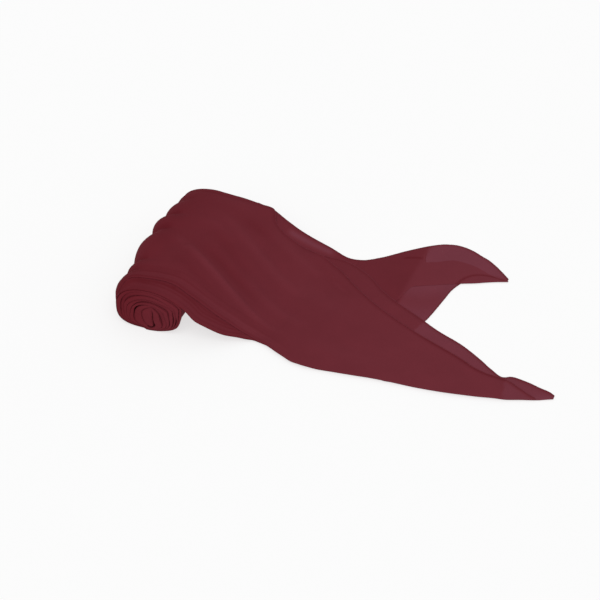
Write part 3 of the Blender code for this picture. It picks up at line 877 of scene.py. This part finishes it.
def wall_ring(turns):
    """One closed section of the wound wall: out along its outer face, round its far edge and back inside."""
    angle = TURN_STARTS_AT + 360.0 * turns
    outer, inner = wall_faces(turns)
    near = ROLL_NEAR_END - turn_end(turns, 1.0)
    far = ROLL_FAR_END + turn_end(turns, -1.0)
    edge = np.array([near])
    outer_x, outer_z = wound_point(angle, outer, edge)
    inner_x, inner_z = wound_point(angle, inner, edge)
    thick = float(np.hypot(outer_x - inner_x, outer_z - inner_z)[0])
    flat_share, full_share = TURN_LIP_SHARES
    lip_share = flat_share + (full_share - flat_share) * float(ease(turns / TURN_LIP_FULL_AT))
    depth = min(lip_share * thick, TURN_LIP_LARGEST)
    flat = np.linspace(near + depth, far - depth, TURN_COLUMNS + 1)
    arc = np.linspace(0.0, math.pi, TURN_LIP_STEPS + 2)[1:-1]
    across = np.concatenate([np.full(len(flat), -1.0), -np.cos(arc), np.full(len(flat), 1.0), np.cos(arc)])
    far_lip = far - depth + depth * np.sin(arc)
    near_lip = near + depth - depth * np.sin(arc)
    ys = np.concatenate([flat, far_lip, flat[::-1], near_lip])
    share = 0.5 * (outer + inner) + 0.5 * (inner - outer) * across
    x, z = wound_point(angle, share, ys)
    return np.stack([x, ys, z], 1)


def wound_faces(at):
    """The faces of the spiral wall, with a cap at each end of the spiral."""
    after = np.roll(at, -1, axis=1)
    faces = np.stack([at[:-1], at[1:], after[1:], after[:-1]], 2).reshape(-1, 4).tolist()
    side = TURN_COLUMNS + 1
    for row in (at[0].tolist(), at[-1].tolist()):
        low = row[:side]
        high = row[side + TURN_LIP_STEPS : 2 * side + TURN_LIP_STEPS][::-1]
        faces += [(a, b, c, d) for a, b, c, d in zip(low, low[1:], high[1:], high)]
        faces.append((low[-1], *row[side : side + TURN_LIP_STEPS], high[-1]))
        faces.append((high[0], *row[2 * side + TURN_LIP_STEPS :], low[0]))
    return faces


def wound_tone(rings):
    """How light each point of the wound turns looks."""
    from_x, to_x, right_tone = WOUND_TONE
    shown = right_tone * ease((rings[:, :, 0] - from_x) / (to_x - from_x))
    wedge_right, wedge_in, wedge_width, wedge_tone = WEDGE_TONE
    right = rings[:, :, 0] - along(ROLL_MIDDLE_X, rings[:, :, 1]) - wedge_right
    inside = rings[:, :, 1] - ROLL_NEAR_END - wedge_in
    return shown + wedge_tone * ease(right / wedge_width) * ease(inside / wedge_width)


def wound_turns(material):
    """The wound strip as one spiral wall with rounded edges, thick where loose and thin where pressed."""
    steps = int(TURN_COUNT * TURN_STEPS_ROUND)
    rings = np.array([wall_ring(step / TURN_STEPS_ROUND) for step in range(steps + 1)])
    count, width = rings.shape[:2]
    faces = wound_faces(np.arange(count * width).reshape(count, width))
    mesh = bpy.data.meshes.new("wound_turns")
    mesh.from_pydata(place(rings.reshape(-1, 3)).tolist(), [], faces)
    store_tone(mesh, wound_tone(rings))
    store_lay(mesh, run_lengths(rings[:, 0]), rings[:, :, 1])
    cleaned = bmesh.new()
    cleaned.from_mesh(mesh)
    bmesh.ops.recalc_face_normals(cleaned, faces=cleaned.faces)
    cleaned.to_mesh(mesh)
    cleaned.free()
    return add_piece("wound_turns", mesh, material)


def path_frames(path):
    """Directions along, up and across at each point of a path."""
    runs = np.gradient(path, axis=0)
    runs /= np.linalg.norm(runs, axis=1)[:, None]
    up = np.array([0.0, 0.0, 1.0])
    across = np.cross(runs, up)
    across /= np.linalg.norm(across, axis=1)[:, None]
    ups = np.cross(across, runs)
    return runs, ups, across


def even_path(path, step):
    """The path's points, set evenly."""
    lengths = run_lengths(path)
    count = int(round(lengths[-1] / step))
    at = np.linspace(0.0, lengths[-1], count + 1)
    return np.stack([np.interp(at, lengths, path[:, axis]) for axis in range(3)], 1)


def tube_into(points, faces, path, radii, sides, flatness=1.0):
    """Add a closed tube round a path to lists of points and faces, pressed flat if asked."""
    _, ups, across = path_frames(path)
    start = len(points)
    for centre, up, side, radius in zip(path, ups, across, radii):
        for number in range(sides):
            turn = 2.0 * math.pi * number / sides
            points.append(centre + radius * (flatness * math.cos(turn) * up + math.sin(turn) * side))
    for ring in range(len(path) - 1):
        for number in range(sides):
            a = start + ring * sides + number
            b = start + ring * sides + (number + 1) % sides
            faces.append((a, b, b + sides, a + sides))
    faces.append(tuple(range(start, start + sides))[::-1])
    last = start + (len(path) - 1) * sides
    faces.append(tuple(range(last, last + sides)))


def mesh_piece(name, points, faces, material, tone_value):
    """A piece from lists of points and faces."""
    mesh = bpy.data.meshes.new(name)
    mesh.from_pydata(place(np.array(points)).tolist(), [], faces)
    store_tone(mesh, np.full(len(points), tone_value))
    mesh.update()
    return add_piece(name, mesh, material)


def stitches_piece(name, path, material):
    """The slanted stitches that hold a hem."""
    line = even_path(path, STITCH_STEP)
    runs, ups, across = path_frames(line)
    arc_span = STITCH_ARC_DEGREES[-1] - STITCH_ARC_DEGREES[0]
    points = []
    faces = []
    for centre, run, up, side in zip(line[1:-1], runs[1:-1], ups[1:-1], across[1:-1]):
        stitch = []
        for degrees in STITCH_ARC_DEGREES:
            turn = math.radians(degrees)
            out_up = (HEM_HALF_HEIGHT + STITCH_LIFT) * math.cos(turn)
            out_side = (HEM_HALF_WIDTH + STITCH_LIFT) * math.sin(turn)
            shift = STITCH_SLANT * degrees / arc_span
            stitch.append(centre + out_up * up + out_side * side + shift * run)
        tube_into(points, faces, np.array(stitch), [STITCH_RADIUS] * len(stitch), STITCH_SIDES)
    return mesh_piece(name, points, faces, material, STITCH_TONE)


def hem_piece(name, rows, hemmed, cloth, thread, end=None):
    """A rolled hem along a ply's back edge and its end, and the stitches that hold it."""
    from_row, tone_value = hemmed
    path = rows[from_row:, BACK]
    if end is not None:
        path = np.concatenate([path, end])
    path = even_path(path, HEM_STEP)
    radii = np.full(len(path), HEM_HALF_WIDTH)
    radii[0] = HEM_END_SHARE * HEM_HALF_WIDTH
    radii[-1] = HEM_END_SHARE * HEM_HALF_WIDTH
    wobble = np.ones(len(path))
    for depth, pace, phase in HEM_WOBBLES:
        wobble += depth * np.sin(np.arange(len(path)) * pace + phase)
    points = []
    faces = []
    tube_into(points, faces, path, radii * wobble, HEM_SIDES, HEM_HALF_HEIGHT / HEM_HALF_WIDTH)
    hem = mesh_piece(name, points, faces, cloth, tone_value)
    return [hem, stitches_piece(name + "_stitches", path, thread)]


def set_inputs(node, values):
    """Set a node's inputs by name."""
    for name, value in values.items():
        node.inputs[name].default_value = value


def new_material(name, surface):
    """A material, its node tree, and its shader with the inputs given."""
    material = bpy.data.materials.new(name)
    material.use_nodes = True
    shader = material.node_tree.nodes["Principled BSDF"]
    set_inputs(shader, surface)
    return material, material.node_tree, shader


def texture(tree, kind, lies_in, values):
    """A texture of one kind that lies in the coordinates given."""
    node = tree.nodes.new(kind)
    set_inputs(node, values)
    tree.links.new(lies_in, node.inputs["Vector"])
    return node


def joined(tree, operation, first, second):
    """The sum or product of two values."""
    node = tree.nodes.new("ShaderNodeMath")
    node.operation = operation
    tree.links.new(first, node.inputs[0])
    tree.links.new(second, node.inputs[1])
    return node.outputs["Value"]


def ranged(tree, value, limits):
    """A value brought to other limits."""
    node = tree.nodes.new("ShaderNodeMapRange")
    set_inputs(node, limits)
    tree.links.new(value, node.inputs["Value"])
    return node.outputs["Result"]


def weave_of(tree):
    """The weave: threads along the cloth times threads across it."""
    lay = tree.nodes.new("ShaderNodeUVMap")
    lay.uv_map = "lay"
    threads = []
    for direction in ("X", "Y"):
        wave = texture(tree, "ShaderNodeTexWave", lay.outputs["UV"], WEAVE)
        wave.bands_direction = direction
        threads.append(wave.outputs["Fac"])
    return joined(tree, "MULTIPLY", *threads)


def colour_by_tone(tree, deep):
    """The cloth's colour, which follows how many plies lie together, and the painted light and shade carried
    in the tone.
    """
    tone = tree.nodes.new("ShaderNodeAttribute")
    tone.attribute_name = "tone"
    by_tone = tree.nodes.new("ShaderNodeValToRGB")
    ramp = by_tone.color_ramp
    ramp.elements[0].color = deep
    ramp.elements[1].color = CLOTH_LIGHT
    ramp.elements.new(MIDDLE_TONE).color = CLOTH_MIDDLE
    tree.links.new(tone.outputs["Fac"], by_tone.inputs["Fac"])
    return by_tone.outputs["Color"]


def cloth_material(name, deep, bump_inputs):
    """Crepe chiffon: fine weave, soft mottle and grain, and a colour that follows the tone."""
    material, tree, shader = new_material(name, CLOTH_SURFACE)
    place_in = tree.nodes.new("ShaderNodeTexCoord").outputs["Object"]
    weave = weave_of(tree)

    mottle = texture(tree, "ShaderNodeTexNoise", place_in, MOTTLE)
    vary = ranged(tree, mottle.outputs["Fac"], MOTTLE_RANGE)
    thread = ranged(tree, weave, WEAVE_RANGE)
    tinted = tree.nodes.new("ShaderNodeVectorMath")
    tinted.operation = "SCALE"
    tree.links.new(colour_by_tone(tree, deep), tinted.inputs[0])
    tree.links.new(joined(tree, "MULTIPLY", vary, thread), tinted.inputs["Scale"])
    tree.links.new(tinted.outputs["Vector"], shader.inputs["Base Color"])

    crepe = texture(tree, "ShaderNodeTexNoise", place_in, CREPE)
    bump = tree.nodes.new("ShaderNodeBump")
    set_inputs(bump, bump_inputs)
    tree.links.new(joined(tree, "ADD", weave, crepe.outputs["Fac"]), bump.inputs["Height"])
    tree.links.new(bump.outputs["Normal"], shader.inputs["Normal"])
    return material


def thread_material():
    """The sewing thread, a shade deeper than the cloth."""
    material, tree, shader = new_material("wine_thread", THREAD_SURFACE)
    twist = tree.nodes.new("ShaderNodeTexNoise")
    set_inputs(twist, THREAD_TWIST)
    colours = tree.nodes.new("ShaderNodeMix")
    colours.data_type = "RGBA"
    set_inputs(colours, THREAD_COLOURS)
    tree.links.new(twist.outputs["Fac"], colours.inputs["Factor"])
    tree.links.new(colours.outputs["Result"], shader.inputs["Base Color"])
    return material


def make_floor():
    """The surface the scarf lies on."""
    mesh = bpy.data.meshes.new("floor")
    half = 0.5 * FLOOR_SIZE
    corners = [(-half, -half, FLOOR_Z), (half, -half, FLOOR_Z), (half, half, FLOOR_Z), (-half, half, FLOOR_Z)]
    mesh.from_pydata(corners, [], [(0, 1, 2, 3)])
    floor = bpy.data.objects.new("floor", mesh)
    floor.data.materials.append(new_material("pale_floor", FLOOR_SURFACE)[0])
    bpy.context.scene.collection.objects.link(floor)


def make_camera():
    """The camera, at the photograph's angle."""
    data = bpy.data.cameras.new("camera")
    data.lens = CAMERA_LENS
    data.sensor_width = SENSOR
    camera = bpy.data.objects.new("camera", data)
    azimuth = math.radians(CAMERA_AZIMUTH)
    elevation = math.radians(CAMERA_ELEVATION)
    level = math.cos(elevation)
    back = Vector((math.sin(azimuth) * level, -math.cos(azimuth) * level, math.sin(elevation)))
    camera.location = Vector((-STRIP_ZERO_X * MM, -STRIP_ZERO_Y * MM, 0.0)) + back * CAMERA_DISTANCE
    camera.rotation_mode = "QUATERNION"
    camera.rotation_quaternion = (-back).to_track_quat("-Z", "Y")
    bpy.context.scene.collection.objects.link(camera)
    bpy.context.scene.camera = camera


def make_lights():
    """Even studio light from all round, with a broad soft key from the near side."""
    scene = bpy.context.scene
    world = bpy.data.worlds.new("studio")
    world.use_nodes = True
    set_inputs(world.node_tree.nodes["Background"], SKY)
    scene.world = world
    data = bpy.data.lights.new("key", "SUN")
    data.energy = KEY_STRENGTH
    data.angle = math.radians(KEY_SPREAD)
    key = bpy.data.objects.new("key", data)
    key.rotation_euler = (math.radians(KEY_TILT[0]), math.radians(KEY_TILT[1]), 0.0)
    scene.collection.objects.link(key)
    scene.view_settings.view_transform = "Standard"
    scene.view_settings.look = "None"


def finish_cloth(node):
    """Hide the model's part that the cloth pieces stand in for."""
    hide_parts(node)


def make_top_ply(strip, material):
    """The top ply: its points and its cloth."""
    ply = Ply(
        TOP_PLY_EDGES, TOP_DEPTH, lips=TOP_LIPS, rim=TOP_RIM_SHARE, rests=TOP_RESTS, drops=True,
        on_floor=False,
    )
    rows = ply_rows(strip + lines_square(*TOP_TAIL_X), ply)
    tones = tone_of(
        rows, TOP_TONES, alone=TOP_ALONE, hems=(BACK,), lines=TOP_CREASE_SHADE, paint_fold_light=True,
        painted_edge_shade=TOP_EDGE_PAINTED_SHADE,
    )
    return rows, cloth_piece("top_ply_cloth", rows, material, tones)


def make_second_ply(strip, material):
    """The ply beneath the top ply: its points and its cloth."""
    ply = Ply(
        SECOND_PLY_EDGES, SECOND_DEPTH, depth_round=SECOND_DEPTH_ROUND, lips=SECOND_LIPS,
        rim=SECOND_RIM_SHARE, rests=SECOND_RESTS, drops=True,
    )
    rows = ply_rows(strip + lines_square(*SECOND_TAIL_X), ply)
    tones = tone_of(
        rows, SECOND_TONES, alone=SECOND_ALONE, hems=(BACK,), lines=SECOND_EDGE_SHADE_AND_TIP,
        painted_edge_shade=SECOND_EDGE_PAINTED_SHADE,
    )
    return rows, cloth_piece("second_ply_cloth", rows, material, tones)


def make_bottom_ply(strip, material):
    """The ply that spreads into the rear tail: its points and its cloth."""
    ply = Ply(BOTTOM_PLY_EDGES, BOTTOM_DEPTH, depth_round=BOTTOM_DEPTH_ROUND, rests=FLOOR_RESTS)
    shared = [line for line in strip if line.kind != "flat" or max(line.value) < BOTTOM_SHARES_TO_X]
    rows = ply_rows(shared + lines_square(*REAR_TAIL_X), ply)
    tones = tone_of(rows, BOTTOM_TONES, hems=(BACK, FRONT), lines=BOTTOM_LINES)
    return rows, cloth_piece("bottom_ply_cloth", rows, material, tones)


def make_under_ply(material):
    """The ply on the surface beneath the front tail: its points and its cloth."""
    ply = Ply(FRONT_UNDER_PLY_EDGES, BOTTOM_DEPTH, lies_loose=False, rests=FLOOR_RESTS)
    rows = ply_rows(lines_square(*FRONT_UNDER_X), ply)
    return rows, cloth_piece("front_under_cloth", rows, material, tone_of(rows, UNDER_TONES))


def make_turned_corner(material):
    """The corner that lies doubled on the rear tail."""
    ply = Ply(TURNED_CORNER_EDGES, CORNER_DEPTH, lies_loose=False, rests=CORNER_RESTS)
    rows = ply_rows(lines_square(*TURNED_CORNER_X), ply)
    return cloth_piece("turned_corner_cloth", rows, material, tone_of(rows, CORNER_TONES, lines=CORNER_LINES))


def make_scarf():
    """Every ply, the wound turns and the hems."""
    chiffon = cloth_material("wine_chiffon", CLOTH_DEEP, CLOTH_BUMP)
    wound = cloth_material("wine_chiffon_wound", WOUND_DEEP, CLOTH_BUMP)
    hemmed = cloth_material("wine_chiffon_hem", HEM_DEEP, HEM_BUMP)
    thread = thread_material()

    strip = strip_lines()
    top_rows, top = make_top_ply(strip, chiffon)
    second_rows, second = make_second_ply(strip, chiffon)
    bottom_rows, bottom = make_bottom_ply(strip, chiffon)
    under_rows, under = make_under_ply(chiffon)
    corner = make_turned_corner(chiffon)
    turns = wound_turns(wound)

    rear_tail_end = bottom_rows[-REAR_TAIL_ROWS:, FRONT][::-1]
    under_end = under_rows[-1, ::-1]
    top_hem = hem_piece("top_ply_hem", top_rows, TOP_HEM, hemmed, thread)
    second_hem = hem_piece("second_ply_hem", second_rows, SECOND_HEM, hemmed, thread)
    bottom_hem = hem_piece("bottom_ply_hem", bottom_rows, BOTTOM_HEM, hemmed, thread, rear_tail_end)
    under_hem = hem_piece("front_under_hem", under_rows, UNDER_HEM, hemmed, thread, under_end)

    finish_cloth("top_ply")
    finish_cloth("second_ply")
    finish_cloth("bottom_ply")
    finish_cloth("front_under_ply")
    finish_cloth("turned_corner")
    finish_cloth("roll")


make_camera()
make_floor()
make_lights()
make_scarf()
